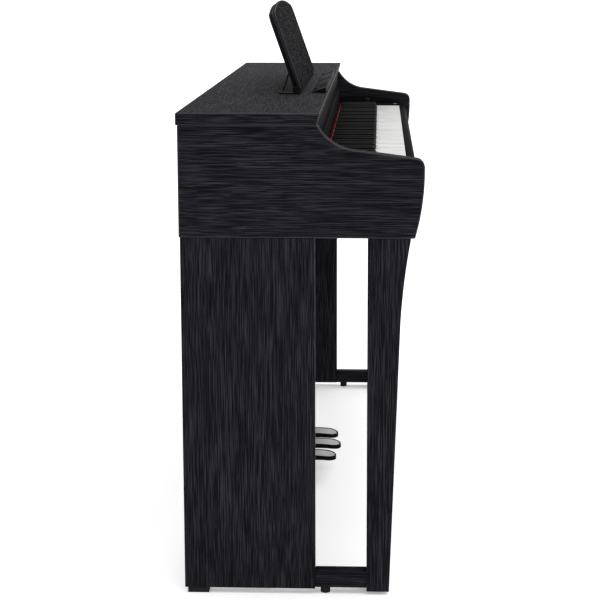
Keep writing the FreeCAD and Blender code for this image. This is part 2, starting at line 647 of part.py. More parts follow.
def make_props():
    """Two thin legs, one behind each end of the rest, that fold into its back."""
    prop_y, prop_z = leaned("dims.prop_in", "dims.prop_up")

    def on_prop(across, down):
        return ("%s+(%s)*cos(dims.prop_lean)+(%s)*sin(dims.prop_lean)" % (prop_y, across, down),
                "%s+(%s)*sin(dims.prop_lean)-(%s)*cos(dims.prop_lean)" % (prop_z, across, down))

    legs = []
    for name, side in SIDES:
        span = side_span(side, "dims.prop_place-dims.prop_half", "dims.prop_place+dims.prop_half")
        blade = prism(name + "_prop_blade", "side", span, [
            on_prop("-dims.prop_thick/2", 0), on_prop("-dims.prop_thick/2", "dims.prop_length"),
            on_prop("dims.prop_thick/2", "dims.prop_length"), on_prop("dims.prop_thick/2", 0)])
        barrel = round_bar("prop_roll", "x", "dims.prop_barrel", "2*dims.prop_half",
                           (span[0], prop_y, prop_z))
        bore = round_bar("prop_bore", "x", "dims.prop_bore", "2*dims.prop_half+4",
                         (span[0] + "-2", prop_y, prop_z))
        legs.append(cut(name + "_prop", fuse("prop_whole", [blade, barrel]), bore))
    node(group("music_rest_prop", legs))


def make_rest_base():
    """A foot plate under each end of the rest, with an ear and its hinge pin."""
    hinge_y, hinge_z = leaned("dims.hinge_in", "dims.hinge_up")
    ear_start = "dims.rest_width/2+dims.ear_gap"
    feet = []
    for side in (-1, 1):
        plate = box("base_plate", side_span(side, "dims.base_inner", "dims.rest_width/2+dims.base_end"),
                    ("dims.base_front", "dims.base_back"),
                    ("dims.lid_top", "dims.lid_top+dims.base_thick"))
        ear = box("base_ear", side_span(side, ear_start, ear_start + "+dims.ear_thick"),
                  ("dims.ear_front", "dims.ear_back"), ("dims.lid_top", hinge_z + "+dims.ear_over"))
        pin_from, pin_to = side_span(side, "dims.rest_width/2-dims.hinge_reach", ear_start + "+2")
        pin = round_bar("base_pin", "x", "dims.hinge_pin", "(%s)-(%s)" % (pin_to, pin_from),
                        (pin_from, hinge_y, hinge_z))
        feet.append(fuse("base_foot", [plate, ear, pin]))
    node(group("music_rest_base", feet))


def make_ledge():
    top = "dims.lid_top"
    rail = prism("ledge_rail", "side", ("-dims.ledge_half", "dims.ledge_half"), [
        ("dims.ledge_front", top), ("dims.ledge_back", top),
        ("dims.ledge_back", top + "+dims.ledge_tail"),
        ("dims.ledge_front+3", top + "+dims.ledge_high"),
        ("dims.ledge_front+1", top + "+dims.ledge_high-1")])
    over = top + "+2*dims.ledge_high"
    behind = "dims.ledge_back+5"
    notches = [box("middle_notch", ("-dims.joint_half", "dims.joint_half"),
                   ("dims.ledge_front-5", behind), (top + "+dims.joint_up", over))]
    for sign in "-+":
        centre = sign + "dims.clip_place"
        notches.append(box("clip_notch",
                           (centre + "-dims.clip_slot_half", centre + "+dims.clip_slot_half"),
                           ("dims.clip_pivot-2*dims.clip_front", behind),
                           (top + "+dims.clip_slot_up", over)))
    node(cut("music_ledge", rail, fuse("ledge_notches", notches)))


def make_page_holders():
    """Flat clips that lie in the ledge's notches and swing up on their front edge."""
    front = "dims.clip_pivot-dims.clip_front"
    for name, side in SIDES:
        centre = "%d*dims.clip_place" % side
        node(prism(name + "_page_holder", "side",
                   (centre + "-dims.clip_half", centre + "+dims.clip_half"), [
                       (front, "dims.clip_low"),
                       ("dims.clip_back", "dims.clip_low-dims.clip_drop"),
                       ("dims.clip_back", "dims.clip_low+dims.clip_thick-dims.clip_thin"),
                       (front, "dims.clip_low+dims.clip_thick")]))


# ---- stand ---------------------------------------------------------------------

def make_stand():
    for name, side in SIDES:
        node(box(name + "_side_board", side_span(side, INNER, HALF),
                 ("dims.stand_front", "dims.stand_back"), ("dims.stand_low", "dims.seam")))
        node(prism(name + "_front_leg", "side",
                   side_span(side, HALF + "-dims.leg_wide", HALF), [
                       ("dims.leg_back", "dims.leg_low"), ("dims.leg_back", "dims.seam"),
                       ("dims.leg_top", "dims.seam", "-dims.leg_hollow"),
                       ("dims.leg_bend", "dims.leg_bend_up"),
                       ("dims.leg_foot", "dims.leg_low")]))
        outer = HALF + "-dims.toe_inset"
        node(box(name + "_toe_bar", side_span(side, outer + "-dims.toe_wide", outer),
                 ("dims.leg_back", "dims.stand_front"), ("dims.toe_low", "dims.toe_top")))
    node(box("stand_back_board", ("-" + INNER, INNER),
             ("dims.back_board_front", "dims.back_board_front+dims.panel"),
             ("dims.back_board_low", "dims.back_board_top")))


def make_feet():
    feet = []
    for side in (-1, 1):
        board_middle = "%d*(%s-dims.board/2)" % (side, HALF)
        leg_middle = "%d*(%s-dims.leg_wide/2)" % (side, HALF)
        toe_middle = "%d*(%s-dims.toe_inset-dims.toe_wide/2)" % (side, HALF)
        feet.append(round_bar("toe_foot", "z", "dims.toe_foot_radius", "dims.toe_low",
                              (toe_middle, "dims.toe_foot_place", 0)))
        feet.append(round_bar("leg_foot", "z", "dims.leg_foot_radius", "dims.leg_low",
                              (leg_middle, "dims.leg_foot_place", 0)))
        feet.append(box("back_foot", (board_middle + "-dims.back_foot_half",
                                      board_middle + "+dims.back_foot_half"),
                        ("dims.back_foot_front", "dims.back_foot_back"),
                        (0, "dims.stand_low")))
    node(group("glide_feet", feet))


BOLT_PLACES = [(side, place) for side in (-1, 1) for place in ("dims.bolt_front", "dims.bolt_back")]


def bolt_shanks(label):
    return [round_bar(label, "z", "dims.bolt_radius", "dims.bolt_deep+3",
                      ("%d*dims.bolt_place" % side, place, "dims.seam-3"))
            for side, place in BOLT_PLACES]


def make_fixings():
    """Angle brackets that join the stand to the case, and their bolts."""
    under = "dims.seam-dims.bracket_thick"
    brackets = []
    bolts = []
    for side, place in BOLT_PLACES:
        y_span = (place + "-dims.bracket_half", place + "+dims.bracket_half")
        flange = box("bracket_flange", side_span(side, INNER + "-dims.bracket_reach", INNER),
                     y_span, (under, "dims.seam"))
        wall = box("bracket_wall", side_span(side, INNER + "-dims.bracket_thick", INNER),
                   y_span, (under + "-dims.bracket_reach", under))
        brackets.append(fuse("bracket_whole", [flange, wall]))
        at_bolt = ("%d*dims.bolt_place" % side, place)
        bolts.append(fuse("bolt", [
            round_bar("bolt_head", "z", "dims.bolt_head_radius", "dims.bolt_head_high",
                      at_bolt + (under + "-dims.bolt_head_high",)),
            round_bar("bolt_shank", "z", "dims.bolt_radius", "dims.bolt_deep+2",
                      at_bolt + (under,))]))
    node(cut("corner_brackets", group("bracket_set", brackets),
             fuse("bracket_holes", bolt_shanks("bracket_hole"))))
    node(group("assembly_bolts", bolts))


# ---- pedals ----------------------------------------------------------------------

PEDALS = (("soft_pedal", -1, "dims.pedal_tip"), ("sostenuto_pedal", 0, "dims.pedal_long_tip"),
          ("damper_pedal", 1, "dims.pedal_tip"))


def make_pedal(name, place, tip):
    centre = "%d*dims.pedal_pitch" % place
    wide = ("%s-dims.pedal_half" % centre, "%s+dims.pedal_half" % centre)
    arm = ("%s-dims.pedal_arm" % centre, "%s+dims.pedal_arm" % centre)
    plan = prism(name + "_plan", "plan", ("dims.pedal_under-12", "dims.pedal_top+6"), [
        (arm[0], "dims.pedal_pivot"),
        (arm[0], "dims.pedal_neck+dims.neck_flare", "-dims.neck_flare"),
        (wide[0] + "+4", "dims.pedal_neck", "dims.pedal_flank"),
        (wide[0], "dims.pedal_neck-10"),
        (wide[0], tip + "+21", "dims.pedal_nose"), (wide[1], tip + "+21"),
        (wide[1], "dims.pedal_neck-10", "dims.pedal_flank"),
        (wide[1] + "-4", "dims.pedal_neck", "-dims.neck_flare"),
        (arm[1], "dims.pedal_neck+dims.neck_flare"),
        (arm[1], "dims.pedal_pivot")])
    side = prism(name + "_side", "side", wide, [
        ("dims.pedal_pivot", "dims.pedal_under"), ("dims.pedal_pivot", "dims.pedal_top"),
        ("dims.pedal_neck+10", "dims.pedal_top", "dims.pedal_curl"),
        (tip + "-1", "dims.pedal_top-dims.pedal_droop"),
        (tip + "-1", "dims.pedal_under-dims.pedal_droop+2", "-dims.pedal_curl"),
        ("dims.pedal_neck+10", "dims.pedal_under")])
    barrel = round_bar(name + "_barrel", "x", "dims.pedal_barrel", "2*dims.pedal_arm",
                       (arm[0], "dims.pedal_pivot", "dims.pedal_pivot_up"))
    bore = round_bar(name + "_bore", "x", "dims.pedal_bore", "2*dims.pedal_arm+4",
                     (arm[0] + "-2", "dims.pedal_pivot", "dims.pedal_pivot_up"))
    blade = common(name + "_blade", plan, side)
    node(cut(name, fuse(name + "_whole", [blade, barrel]), bore))


def make_pedal_board():
    span = ("-" + INNER, INNER)
    front_in = "dims.beam_front+dims.beam_wall"
    beam = prism("pedal_beam", "side", span, [
        ("dims.beam_front", "dims.beam_low"), (front_in, "dims.beam_low"),
        (front_in, "dims.beam_top-dims.beam_wall"),
        ("dims.beam_back", "dims.beam_top-dims.beam_wall"), ("dims.beam_back", "dims.beam_top"),
        ("dims.beam_front", "dims.beam_top")])
    windows = []
    for _, place, _ in PEDALS:
        centre = "%d*dims.pedal_pitch" % place
        windows.append(box("pedal_window", (centre + "-dims.pedal_arm-dims.window_gap",
                                            centre + "+dims.pedal_arm+dims.window_gap"),
                           ("dims.beam_front-5", front_in + "+5"),
                           ("dims.beam_low+dims.beam_wall", "dims.pedal_top+dims.window_gap")))
    node(cut("pedal_board", beam, fuse("pedal_windows", windows)))


def make_pedal_housing():
    """Plate with cheeks for the pedals' pin, and the nut of the adjuster foot."""
    plate_top = "dims.beam_low-dims.housing_thick"
    pieces = [box("housing_plate", ("-dims.housing_half", "dims.housing_half"),
                  ("dims.housing_front", "dims.housing_back"),
                  (plate_top + "-dims.housing_thick", plate_top))]
    for middle in ("-dims.cheek_outer", "-dims.cheek_inner", "dims.cheek_inner", "dims.cheek_outer"):
        pieces.append(box("housing_cheek", (middle + "-dims.cheek_half", middle + "+dims.cheek_half"),
                          ("dims.cheek_front", "dims.cheek_back"),
                          (plate_top, "dims.beam_top-dims.beam_wall")))
    at_adjuster = (0, "dims.adjuster_back")
    pieces.append(round_bar("adjuster_nut", "z", "dims.nut_radius", "dims.nut_high",
                            at_adjuster + (plate_top,)))
    at_pin = ("-dims.pin_half", "dims.pedal_pivot", "dims.pedal_pivot_up")
    hollows = fuse("housing_hollows", [
        round_bar("housing_bore", "x", "dims.pedal_pin", "2*dims.pin_half", at_pin),
        round_bar("adjuster_hole", "z", "dims.nut_bore", "dims.nut_high+10",
                  at_adjuster + (plate_top + "-5",))])
    node(cut("pedal_housing", fuse("housing_whole", pieces), hollows))
    node(round_bar("pedal_pin", "x", "dims.pedal_pin", "2*dims.pin_half", at_pin))
    node(fuse("pedal_adjuster", [
        round_bar("adjuster_disc", "z", "dims.disc_radius", "dims.disc_high", at_adjuster + (0,)),
        round_bar("adjuster_neck", "z", "dims.neck_radius", "dims.neck_high",
                  at_adjuster + ("dims.disc_high",), top_radius="dims.stem_radius"),
        round_bar("adjuster_stem", "z", "dims.stem_radius", "dims.stem_high",
                  at_adjuster + ("dims.disc_high+dims.neck_high-1",))]))


def make_pedal_spring(name, place):
    low = "(dims.beam_low-dims.housing_thick)"
    at_spring = ("%d*dims.pedal_pitch" % place, "dims.spring_back", low)
    length = "dims.pedal_under-dims.spring_gap-" + low
    outer = round_bar(name + "_outer", "z", "dims.spring_radius", length, at_spring)
    inner = round_bar(name + "_inner", "z", "dims.spring_radius-dims.spring_wall", length,
                      at_spring)
    return cut(name, outer, inner)


def write_parts():
    doc.recompute()
    for obj in doc.Objects:
        if "Invalid" in obj.State or "Error" in obj.State:
            raise RuntimeError("%s (%s) failed: %s" % (obj.Label, obj.Name, obj.State))
    for obj in NODES:
        if obj.Shape.isNull() or not obj.Shape.isValid():
            raise RuntimeError("%s has no valid shape" % obj.Label)
    os.makedirs("parts", exist_ok=True)
    for old in os.listdir("parts"):
        os.remove(os.path.join("parts", old))
    for obj in NODES:
        obj.Shape.exportStep("parts/%s.step" % obj.Label)
    print(len(NODES), "nodes")


def main():
    fill_sheet()
    make_case()
    make_rail()
    make_key_blocks()
    make_controls()
    make_key_cover()
    make_keys()
    make_action()
    make_main_board()
    make_speakers()
    make_sockets()
    make_music_rest()
    make_props()
    make_rest_base()
    make_ledge()
    make_page_holders()
    make_stand()
    make_feet()
    make_fixings()
    for name, place, tip in PEDALS:
        make_pedal(name, place, tip)
    make_pedal_board()
    make_pedal_housing()
    springs = [make_pedal_spring(p[0] + "_spring", p[1]) for p in PEDALS]
    node(group("pedal_springs", springs))
    write_parts()


main()
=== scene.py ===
# %% [markdown]
# # A home digital piano on its stand
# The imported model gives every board, key and pedal at its real size. This lesson gives each of them
# its finish and its rounded edges, and adds the small parts that a drawing of boards leaves out.
# The first lines load that model, and everything that follows is placed from it.

# %% Load the frame
import json
import math

import bpy
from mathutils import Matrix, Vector

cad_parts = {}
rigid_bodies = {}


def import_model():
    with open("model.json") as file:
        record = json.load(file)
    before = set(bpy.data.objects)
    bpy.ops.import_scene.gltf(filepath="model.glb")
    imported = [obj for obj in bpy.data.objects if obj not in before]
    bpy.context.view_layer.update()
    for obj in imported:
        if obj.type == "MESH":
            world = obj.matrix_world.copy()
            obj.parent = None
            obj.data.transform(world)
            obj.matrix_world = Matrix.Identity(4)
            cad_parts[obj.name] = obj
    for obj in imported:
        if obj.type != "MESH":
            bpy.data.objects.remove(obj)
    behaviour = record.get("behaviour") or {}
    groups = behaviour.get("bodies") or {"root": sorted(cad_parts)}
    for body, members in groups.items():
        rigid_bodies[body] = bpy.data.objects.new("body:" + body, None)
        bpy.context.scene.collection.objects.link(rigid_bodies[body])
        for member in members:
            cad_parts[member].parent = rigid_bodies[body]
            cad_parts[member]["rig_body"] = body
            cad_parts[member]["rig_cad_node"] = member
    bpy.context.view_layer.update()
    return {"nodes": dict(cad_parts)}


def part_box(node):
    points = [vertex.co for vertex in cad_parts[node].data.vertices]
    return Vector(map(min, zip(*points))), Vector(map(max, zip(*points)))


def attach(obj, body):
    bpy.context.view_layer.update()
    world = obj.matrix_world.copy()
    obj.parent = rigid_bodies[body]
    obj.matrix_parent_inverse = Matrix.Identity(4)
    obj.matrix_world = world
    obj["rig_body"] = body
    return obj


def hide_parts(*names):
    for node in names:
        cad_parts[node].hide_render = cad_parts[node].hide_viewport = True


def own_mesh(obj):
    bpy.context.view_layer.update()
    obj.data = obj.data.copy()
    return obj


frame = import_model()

MM = 0.001

# %% [markdown]
# ## The camera first
# The piano is seen from the player's left, from a little above its lid, through a long lens. The
# camera looks slightly down and towards the back. Tilting it further would draw the upright edges
# together, so the lens is shifted instead, as on a view camera. The plain view transform keeps a
# white floor white and black boards black.

# %% Camera
CAMERA_PLACE = Vector((-3.1912, -0.1339, 1.0940))
PAN_TO_BACK = math.radians(1.90)
TILT_DOWN = math.radians(8.95)
LENS = 90.14

camera_data = bpy.data.cameras.new("camera")
camera_data.lens = LENS
camera_data.shift_x = -0.05
camera_data.shift_y = -0.16
camera_data.clip_end = 60
camera = bpy.data.objects.new("camera", camera_data)
bpy.context.scene.collection.objects.link(camera)
camera.location = CAMERA_PLACE
camera.rotation_euler = (math.pi / 2 - TILT_DOWN, 0, -math.pi / 2 + PAN_TO_BACK)
bpy.context.scene.camera = camera
bpy.context.scene.view_settings.view_transform = "Standard"

# %% [markdown]
# ## Shader maths in plain Python
# A finish is a formula: streaks times a tint, plus a little wear. Wiring that by hand hides the
# idea, so a small class wraps a socket and turns +, - and * into Math nodes. One more method makes
# any other node from its type, its settings and its inputs.

# %% Sockets that can be added and multiplied
class Value:
    """A socket that adds the Math node it needs when it is used in a formula."""

    def __init__(self, finish, socket):
        self.finish = finish
        self.socket = socket

    def math(self, operation, first, second):
        return self.finish.node("ShaderNodeMath", {"operation": operation}, {0: first, 1: second})

    def __add__(self, other):
        return self.math("ADD", self, other)

    def __radd__(self, other):
        return self.math("ADD", other, self)

    def __sub__(self, other):
        return self.math("SUBTRACT", self, other)

    def __rsub__(self, other):
        return self.math("SUBTRACT", other, self)

    def __mul__(self, other):
        return self.math("MULTIPLY", self, other)

    def __rmul__(self, other):
        return self.math("MULTIPLY", other, self)


class Finish:
    """One material: a Principled shader and the nodes that feed it."""

    def __init__(self, name, roughness=0.5, **fixed):
        self.material = bpy.data.materials.new(name)
        self.material.use_nodes = True
        self.tree = self.material.node_tree
        self.shader = self.tree.nodes["Principled BSDF"]
        self.shader.inputs["Roughness"].default_value = roughness
        for socket, value in fixed.items():
            self.shader.inputs[socket.replace("_", " ")].default_value = value

    def node(self, kind, settings=None, inputs=None, output=0):
        made = self.tree.nodes.new(kind)
        for key, value in (settings or {}).items():
            setattr(made, key, value)
        for key, value in (inputs or {}).items():
            if isinstance(value, Value):
                self.tree.links.new(value.socket, made.inputs[key])
            else:
                made.inputs[key].default_value = value
        return Value(self, made.outputs[output])

    def place(self, scale=(1, 1, 1)):
        """The point's own position in metres, stretched by scale."""
        position = self.node("ShaderNodeTexCoord", output="Object")
        return self.node("ShaderNodeMapping", {}, {"Vector": position, "Scale": scale})

    def noise(self, vector, scale=1.0, detail=2.0, roughness=0.5):
        return self.node("ShaderNodeTexNoise", {}, {
            "Vector": vector, "Scale": scale, "Detail": detail, "Roughness": roughness})

    def speckle(self, vector, scale=1.0):
        """Noise with three parts, to push a position about."""
        return self.node("ShaderNodeTexNoise", {}, {"Vector": vector, "Scale": scale}, "Color")

    def push(self, vector, by, amount):
        """vector + by * amount, in all three directions."""
        return self.node("ShaderNodeVectorMath", {"operation": "MULTIPLY_ADD"}, {
            0: by, 1: (amount,) * 3, 2: vector}, "Vector")

    def step(self, value, low, high):
        """0 below low, 1 above high, smooth between."""
        return self.node("ShaderNodeMapRange", {"interpolation_type": "SMOOTHSTEP"}, {
            "Value": value, "From Min": low, "From Max": high})

    def mix(self, mask, low, high):
        """One colour turning into another as the mask goes from 0 to 1."""
        mixed = {"Factor": mask, 6: low, 7: high}
        return self.node("ShaderNodeMix", {"data_type": "RGBA"}, mixed, 2)

    def feed(self, **links):
        for socket, value in links.items():
            target = self.shader.inputs[socket.replace("_", " ")]
            self.tree.links.new(value.socket, target)
        return self

    def bump(self, height, depth, strength=1.0):
        """Relief of the given depth in metres."""
        normal = self.node("ShaderNodeBump", {}, {
            "Height": height, "Distance": depth, "Strength": strength}, "Normal")
        return self.feed(Normal=normal)


def tone(red, green, blue):
    return (red, green, blue, 1.0)


# %% [markdown]
# ## Wood-grain laminate
# The case and stand are chipboard under a black printed foil that is pressed with a fine grain.
# The grain is noise stretched along one axis: slow waves bend it, thin pale streaks lie on it,
# and short pores cut it. Each board takes the direction that its sheet was cut in, so the finish
# is made three times, once along each axis. Noise is used rather than an image, so the grain has no
# seams and stays sharp close up. The music rest has its own sheet, a little paler and quite matt.

# %% Laminate along an axis
GRAIN_AXES = {"x": (0, 1, 1), "y": (1, 0, 1), "z": (1, 1, 0)}


def stretched(grain, along, across):
    """Scale of a pattern that is long along the grain and fine across it."""
    return tuple(across if fine else along for fine in GRAIN_AXES[grain])


def laminate(name, grain, dark, pale, shine=0.05):
    finish = Finish(name, roughness=0.6, Specular_IOR_Level=shine)
    wander = finish.speckle(finish.place(stretched(grain, 1.6, 7)), 1.0)
    sheet = finish.push(finish.place(stretched(grain, 15, 1150)), wander, 4.0)
    fibres = finish.noise(sheet, 1.0, 2.0, 0.5)
    pores = finish.noise(finish.place(stretched(grain, 36, 1900)), 1.0, 2.0, 0.5)
    figure = finish.noise(finish.push(finish.place(stretched(grain, 2.4, 80)), wander, 1.2), 1.0, 2.0)
    clouds = finish.noise(finish.place(stretched(grain, 3, 8)), 1.0, 2.0)
    streaks = finish.step(fibres, 0.48, 0.62)
    dashes = finish.step(pores, 0.54, 0.70)
    bands = finish.step(figure, 0.34, 0.66)
    mask = streaks * (bands * 0.16 + 0.74) + dashes * 0.30
    worn = mask * (clouds * 0.5 + 0.75)
    finish.feed(Base_Color=finish.mix(worn, dark, pale), Roughness=0.64 - worn * 0.12)
    finish.bump(streaks * 0.6 + dashes * 0.6, 0.0002)
    return finish.material


LAMINATE_DARK = tone(0.0028, 0.0027, 0.0042)
LAMINATE_PALE = tone(0.032, 0.031, 0.039)
laminate_across = laminate("laminate_across", "x", LAMINATE_DARK, LAMINATE_PALE)
laminate_deep = laminate("laminate_deep", "y", LAMINATE_DARK, LAMINATE_PALE)
laminate_upright = laminate("laminate_upright", "z", LAMINATE_DARK, LAMINATE_PALE)
laminate_rest = laminate("laminate_rest", "x", tone(0.012, 0.012, 0.013), tone(0.044, 0.044, 0.046),
                         shine=0.0)

# %% [markdown]
# ## Moulded plastic and its edges
# Moulded covers have a sand-blasted grain, which is noise a third of a millimetre wide, and handling
# leaves soft patches on them. The same few nodes make every plastic here, with other colours and
# depths. Two paler ones are only for edges: their paler colour is a painted highlight, the thin bright
# line along an edge.

# %% Plastics
def moulded(name, colour, roughness, grain=2600, depth=0.00005, shine=0.06):
    finish = Finish(name, roughness=roughness, Specular_IOR_Level=shine)
    fine = finish.noise(finish.place(), grain, 2.0, 0.6)
    handled = finish.noise(finish.place(), 9.0, 3.0, 0.55)
    darker = tone(*(channel * 0.78 for channel in colour[:3]))
    finish.feed(Base_Color=finish.mix(finish.step(handled, 0.3, 0.7), darker, colour),
                Roughness=roughness - 0.06 + handled * 0.12)
    finish.bump(fine, depth)
    return finish.material


case_plastic = moulded("case_plastic", tone(0.008, 0.008, 0.009), 0.5, shine=0.02)
rest_plastic = moulded("rest_plastic", tone(0.0085, 0.0085, 0.0100), 0.62, grain=900, depth=0.0002,
                       shine=0.02)
# Paler than the black it edges: a painted highlight for the rounded edges of the lid, the arms and the
# music rest.
painted_highlight_edge = moulded("painted_highlight_edge", tone(0.030, 0.030, 0.034), 0.45, shine=0.12)
# Paler than the sharps: a painted highlight for their rounded top edges.
sharp_edge = moulded("sharp_edge", tone(0.032, 0.032, 0.033), 0.42, shine=0.03)
satin_black = moulded("satin_black", tone(0.008, 0.008, 0.0092), 0.46, grain=3400, depth=0.00002,
                      shine=0.002)
chassis_plastic = moulded("chassis_plastic", tone(0.09, 0.09, 0.10), 0.5)
rubber = moulded("rubber", tone(0.020, 0.020, 0.020), 0.8, grain=1800, depth=0.0001)

# %% [markdown]
# ## Keys, felt and metal
# White keycaps are polished ivory-coloured acrylic with the faintest mottling and some greasy scuffs.
# Sharps are satin. The felt is pressed wool, so it has short fibres in every direction.
# Pedals are plated and brushed along their length.

# %% Key finishes
def white_cap():
    finish = Finish("white_keycap", roughness=0.22, Coat_Weight=0.35, Coat_Roughness=0.08)
    soft = finish.noise(finish.place(), 22.0, 3.0, 0.5)
    scuffs = finish.step(finish.noise(finish.place((900, 60, 200)), 1.0, 3.0, 0.7), 0.55, 0.8)
    ivory = finish.mix(finish.step(soft, 0.3, 0.7), tone(0.74, 0.735, 0.715),
                       tone(0.80, 0.795, 0.78))
    finish.feed(Base_Color=ivory, Roughness=0.20 + scuffs * 0.16)
    finish.bump(soft, 0.00004)
    return finish.material


def sharp_cap():
    finish = Finish("sharp_keycap", roughness=0.42, Specular_IOR_Level=0.0)
    lines = finish.noise(finish.place((1500, 30, 1500)), 1.0, 3.0, 0.6)
    finish.feed(Base_Color=finish.mix(finish.step(lines, 0.4, 0.75), tone(0.004, 0.004, 0.0045),
                                      tone(0.018, 0.018, 0.019)),
                Roughness=0.34 + lines * 0.12)
    finish.bump(lines, 0.00006)
    return finish.material


def wool_felt():
    finish = Finish("wool_felt", roughness=0.95, Specular_IOR_Level=0.0)
    fibres = finish.noise(finish.push(finish.place((1, 1, 1)),
                                      finish.speckle(finish.place(), 700), 0.002), 1900, 3.0, 0.7)
    finish.feed(Base_Color=finish.mix(fibres, tone(0.030, 0.0015, 0.002),
                                      tone(0.125, 0.006, 0.008)))
    finish.bump(fibres, 0.0004)
    return finish.material


def metal(name, colour, roughness, brush=(900, 900, 900), bare=1.0):
    finish = Finish(name, roughness=roughness, Metallic=bare)
    lines = finish.noise(finish.place(brush), 1.0, 3.0, 0.6)
    stains = finish.noise(finish.place(), 30.0, 3.0, 0.5)
    darker = tone(*(channel * 0.8 for channel in colour[:3]))
    finish.feed(Base_Color=finish.mix(stains, darker, colour),
                Roughness=roughness - 0.05 + lines * 0.14)
    finish.bump(lines, 0.00002)
    return finish.material


white_key = white_cap()
black_key = sharp_cap()
felt = wool_felt()
pedal_metal = metal("pedal_metal", tone(0.88, 0.87, 0.86), 0.52, brush=(1600, 70, 1600), bare=0.7)
plated_steel = metal("plated_steel", tone(0.52, 0.52, 0.54), 0.34)
spring_steel = metal("spring_steel", tone(0.40, 0.39, 0.38), 0.3)


# %% Circuit board and speaker cone
def circuit_board():
    finish = Finish("circuit_board", roughness=0.4)
    height = finish.node("ShaderNodeSeparateXYZ", {}, {"Vector": finish.place()}, "Z")
    tracks = finish.step(finish.noise(finish.place((420, 70, 420)), 1.0, 2.0), 0.50, 0.53)
    lacquer = finish.mix(tracks, tone(0.010, 0.060, 0.028), tone(0.030, 0.130, 0.060))
    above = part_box("main_board")[1].z - 1.6 * MM
    chips = finish.step(height, above, above + 0.2 * MM)
    finish.feed(Base_Color=finish.mix(chips, lacquer, tone(0.012, 0.012, 0.013)))
    finish.bump(tracks, 0.00005)
    return finish.material


board_lacquer = circuit_board()
print(len(bpy.data.materials), "finishes")

# %% [markdown]
# ## Softening the edges of a board
# Nothing that was cut or moulded has a knife edge, and a thin pale line of light along each edge
# is what makes a black object readable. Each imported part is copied, its loose triangles are merged
# and its flat faces dissolved back to whole ones, and a Bevel modifier rounds what is left. The
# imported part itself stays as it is, hidden, for the motion model.

# %% Select with care
def nothing_selected():
    if bpy.context.object and bpy.context.object.mode != "OBJECT":
        bpy.ops.object.mode_set(mode="OBJECT")
    bpy.ops.object.select_all(action="DESELECT")


def only(piece):
    """Select this piece alone and make it the one that operators act on."""
    nothing_selected()
    piece.select_set(True)
    bpy.context.view_layer.objects.active = piece


def edit(piece, kind="VERT"):
    only(piece)
    bpy.ops.object.mode_set(mode="EDIT")
    bpy.ops.mesh.select_mode(type=kind)
    bpy.ops.mesh.select_all(action="DESELECT")


def choose(piece, test, kind="FACE"):
    """In edit mode, select only the faces, edges or vertices that pass a test."""
    bpy.ops.mesh.select_all(action="DESELECT")
    bpy.ops.object.mode_set(mode="OBJECT")
    mesh = piece.data
    parts = {"FACE": mesh.polygons, "EDGE": mesh.edges, "VERT": mesh.vertices}[kind]
    found = 0
    for part in parts:
        part.select = bool(test(part))
        found += part.select
    bpy.ops.object.mode_set(mode="EDIT")
    return found


def done(piece):
    bpy.ops.object.mode_set(mode="OBJECT")
    return piece


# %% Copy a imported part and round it
MERGE = 0.00002
FLAT = math.radians(0.6)


def whole_copy(node, name):
    """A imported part's own copy, with merged points and whole flat faces."""
    source = frame["nodes"][node]
    piece = source.copy()
    piece.data = source.data.copy()
    piece.name = name
    piece.data.name = name
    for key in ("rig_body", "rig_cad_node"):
        if key in piece:
            del piece[key]
    piece.parent = None
    bpy.context.scene.collection.objects.link(piece)
    edit(piece)
    bpy.ops.mesh.select_all(action="SELECT")
    bpy.ops.mesh.remove_doubles(threshold=MERGE)
    bpy.ops.mesh.dissolve_limited(angle_limit=FLAT)
    return done(piece)


def rounded(piece, width, segments=3, angle=28, edge_slot=-1):
    """Round every edge sharper than the angle, then shade smooth across the curve."""
    only(piece)
    bevel = piece.modifiers.new("edges", "BEVEL")
    bevel.width = width * MM
    bevel.segments = segments
    bevel.limit_method = "ANGLE"
    bevel.angle_limit = math.radians(angle)
    bevel.material = edge_slot
    bpy.ops.object.modifier_apply(modifier=bevel.name)
    bpy.ops.object.shade_smooth_by_angle(angle=math.radians(40))
    return piece


def finished(piece, body, material, slot, *nodes):
    """Give a piece its finish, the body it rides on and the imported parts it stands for."""
    piece.data.materials.clear()
    piece.data.materials.append(material)
    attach(piece, body)
    if nodes:
        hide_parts(*nodes)
    return piece


def body_of_node(node):
    return frame["nodes"][node]["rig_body"]


def dress(node, width, material, slot, segments=3, angle=28, edge=None):
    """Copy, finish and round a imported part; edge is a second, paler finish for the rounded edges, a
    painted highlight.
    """
    piece = whole_copy(node, "rounded_" + node)
    finished(piece, body_of_node(node), material, slot, node)
    if edge:
        piece.data.materials.append(edge)
    return rounded(piece, width, segments, angle, 1 if edge else -1)


def turn_grain(piece, axis, material):
    """Faces that look along the grain's own axis take a sheet cut the other way."""
    piece.data.materials.append(material)
    last = len(piece.data.materials) - 1
    for face in piece.data.polygons:
        if abs(face.normal[axis]) > 0.8 and face.material_index == 0:
            face.material_index = last
